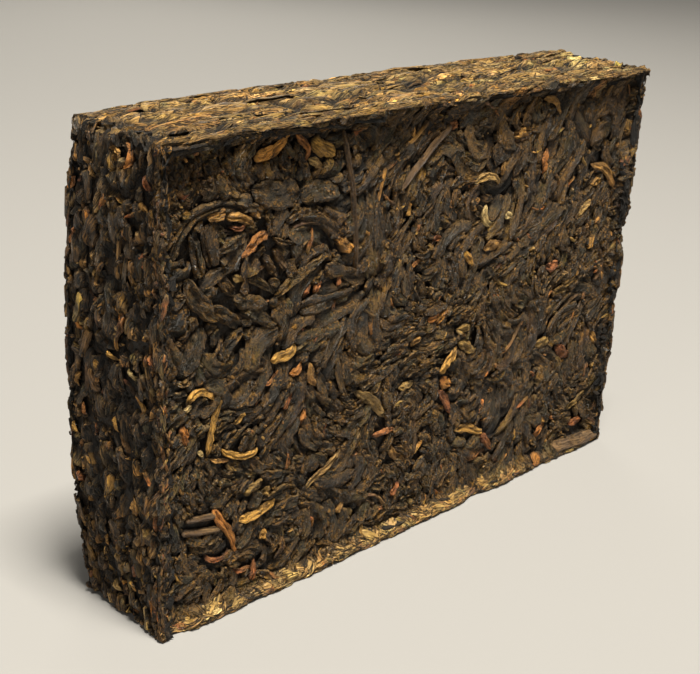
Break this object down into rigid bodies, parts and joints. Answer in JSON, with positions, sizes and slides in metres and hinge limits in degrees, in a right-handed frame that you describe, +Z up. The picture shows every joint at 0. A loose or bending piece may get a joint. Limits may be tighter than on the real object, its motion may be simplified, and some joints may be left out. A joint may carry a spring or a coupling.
{
  "type": "pu erh tea brick",
  "caption": "Rectangular brick of dark pressed ripe tea leaf with golden tips and stems, one face sunk below a ragged rim, standing on a long narrow side.",
  "frame": {"origin": "middle of the underside, on the surface that the brick stands on", "axes": "+Z up, +X along the length, -Y out of the rimmed face"},
  "size_m": [0.1412, 0.0274, 0.0961],
  "materials": {
    "pressed_leaf": "matt dark brown pressed leaf with a faint grey sheen on the flattened ribs",
    "golden_tip": "satin ochre to russet leaf buds",
    "stem": "matt brown twig with fine grooves"
  },
  "bodies": {
    "root": {"tea_brick": "pressed_leaf"}
  },
  "joints": []
}
